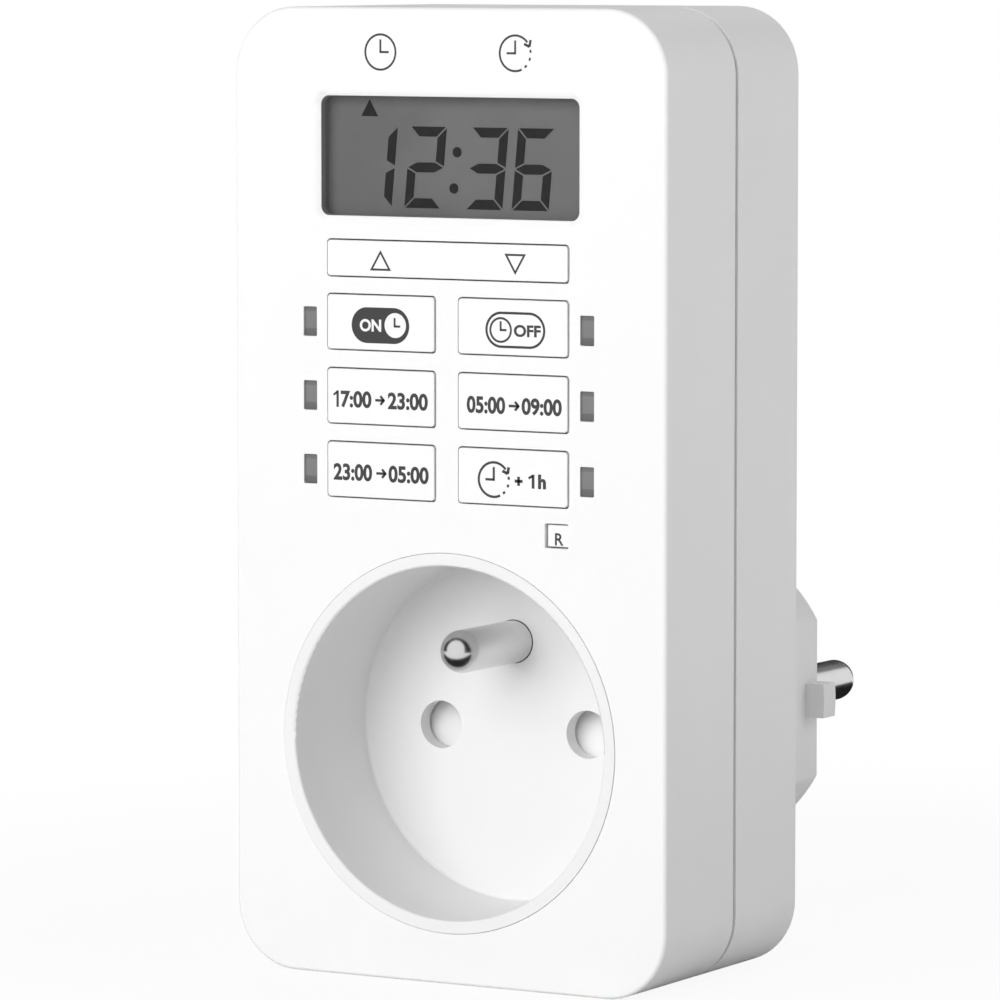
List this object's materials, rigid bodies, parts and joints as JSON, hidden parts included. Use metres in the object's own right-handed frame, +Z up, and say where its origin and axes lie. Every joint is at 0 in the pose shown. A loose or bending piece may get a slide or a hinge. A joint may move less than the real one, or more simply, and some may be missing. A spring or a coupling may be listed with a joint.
{
  "type": "plug-in timer switch",
  "caption": "White plug-in timer switch: case with digital display, push keys, indicator windows, a recessed front socket with earth pin, and a two-pin plug on the back.",
  "frame": {"origin": "centre of the plug's engagement face, on the common axis of the rear plug and the front socket", "axes": "+Y into the wall along the plug pins, +Z up, +X to the right seen from the front"},
  "size_m": [0.055, 0.0782, 0.1082],
  "materials": {
    "cover_white": "fine satin moulded white plastic",
    "case_white": "fine satin moulded white plastic",
    "well_white": "satin moulded white plastic",
    "key_white": "satin white plastic with dark print",
    "shutter_grey": "satin pale grey plastic",
    "plated_pin": "bright nickel plate",
    "brass": "plain drawn brass",
    "spring_steel": "drawn spring wire",
    "screw_steel": "zinc plated",
    "carrier_plastic": "off-white glass filled plastic",
    "smoked_window": "smoked translucent plastic",
    "display_clear": "clear polished window",
    "lcd_glass": "grey polarised liquid crystal",
    "reflector_foil": "matt reflector foil",
    "frame_plastic": "white moulded plastic",
    "strip_rubber": "layered conductive rubber",
    "silicone": "translucent grey silicone",
    "board_green": "green solder mask",
    "led_body": "small clear lamp body",
    "chip_black": "black moulded package",
    "cell_steel": "pressed steel can",
    "header_black": "black header",
    "film_yellow": "yellow box capacitor",
    "can_sleeve": "dark shrink sleeve",
    "varistor_blue": "blue dipped disc",
    "resistor_tan": "ceramic coated resistor"
  },
  "bodies": {
    "case": {"front_cover": "cover_white", "rear_cover": "case_white", "plug_body": "case_white", "socket_cup": "well_white", "live_pin": "plated_pin", "neutral_pin": "plated_pin", "socket_earth_pin": "plated_pin", "live_contact": "brass", "neutral_contact": "brass", "live_link": "brass", "neutral_link": "brass", "plug_earth_sleeve": "brass", "earth_strap": "brass", "shutter_spring": "spring_steel", "housing_screws": "screw_steel", "control_board_screws": "screw_steel", "power_board_screws": "screw_steel", "pin_holder_screws": "screw_steel", "contact_carrier": "carrier_plastic", "pin_holder": "carrier_plastic", "light_window_1": "smoked_window", "light_window_2": "smoked_window", "light_window_3": "smoked_window", "light_window_4": "smoked_window", "light_window_5": "smoked_window", "light_window_6": "smoked_window", "display_window": "display_clear", "lcd_panel": "lcd_glass", "lcd_reflector": "reflector_foil", "lcd_frame": "frame_plastic", "lcd_contact_strip": "strip_rubber", "key_mat": "silicone", "control_board": "board_green", "power_board": "board_green", "indicator_leds": "led_body", "microcontroller": "chip_black", "bridge_rectifier": "chip_black", "relay": "chip_black", "backup_cell": "cell_steel", "crystal": "cell_steel", "board_header": "header_black", "film_capacitor": "film_yellow", "supply_capacitor": "can_sleeve", "filter_capacitor": "can_sleeve", "varistor": "varistor_blue", "fuse_resistor": "resistor_tan"},
    "key_on": {"key_on": "key_white"},
    "key_off": {"key_off": "key_white"},
    "key_evening": {"key_evening": "key_white"},
    "key_morning": {"key_morning": "key_white"},
    "key_night": {"key_night": "key_white"},
    "key_plus_hour": {"key_plus_hour": "key_white"},
    "reset_key": {"reset_key": "key_white"},
    "rocker_key": {"rocker_key": "key_white"},
    "socket_shutter": {"socket_shutter": "shutter_grey"}
  },
  "joints": [
    {"name": "key_on_press", "type": "slide", "parent": "case", "child": "key_on", "axis": [0, 1, 0], "range_m": [0, 0.0004], "stiffness_N_per_m": 900, "springref_m": -0.0004},
    {"name": "key_off_press", "type": "slide", "parent": "case", "child": "key_off", "axis": [0, 1, 0], "range_m": [0, 0.0004], "stiffness_N_per_m": 900, "springref_m": -0.0004},
    {"name": "key_evening_press", "type": "slide", "parent": "case", "child": "key_evening", "axis": [0, 1, 0], "range_m": [0, 0.0004], "stiffness_N_per_m": 900, "springref_m": -0.0004},
    {"name": "key_morning_press", "type": "slide", "parent": "case", "child": "key_morning", "axis": [0, 1, 0], "range_m": [0, 0.0004], "stiffness_N_per_m": 900, "springref_m": -0.0004},
    {"name": "key_night_press", "type": "slide", "parent": "case", "child": "key_night", "axis": [0, 1, 0], "range_m": [0, 0.0004], "stiffness_N_per_m": 900, "springref_m": -0.0004},
    {"name": "key_plus_hour_press", "type": "slide", "parent": "case", "child": "key_plus_hour", "axis": [0, 1, 0], "range_m": [0, 0.0004], "stiffness_N_per_m": 900, "springref_m": -0.0004},
    {"name": "reset_key_press", "type": "slide", "parent": "case", "child": "reset_key", "axis": [0, 1, 0], "range_m": [0, 0.0004], "stiffness_N_per_m": 900, "springref_m": -0.0004},
    {"name": "rocker_tilt", "type": "hinge", "parent": "case", "child": "rocker_key", "pos_m": [0, -0.0555, 0.05353], "axis": [0, 0, 1], "range_deg": [-1.2, 1.2], "stiffness_Nm_per_rad": 0.4},
    {"name": "shutter_slide", "type": "slide", "parent": "case", "child": "socket_shutter", "axis": [0, 0, -1], "range_m": [0, 0.0062], "stiffness_N_per_m": 120, "springref_m": -0.002, "deforming": ["shutter_spring"]}
  ]
}
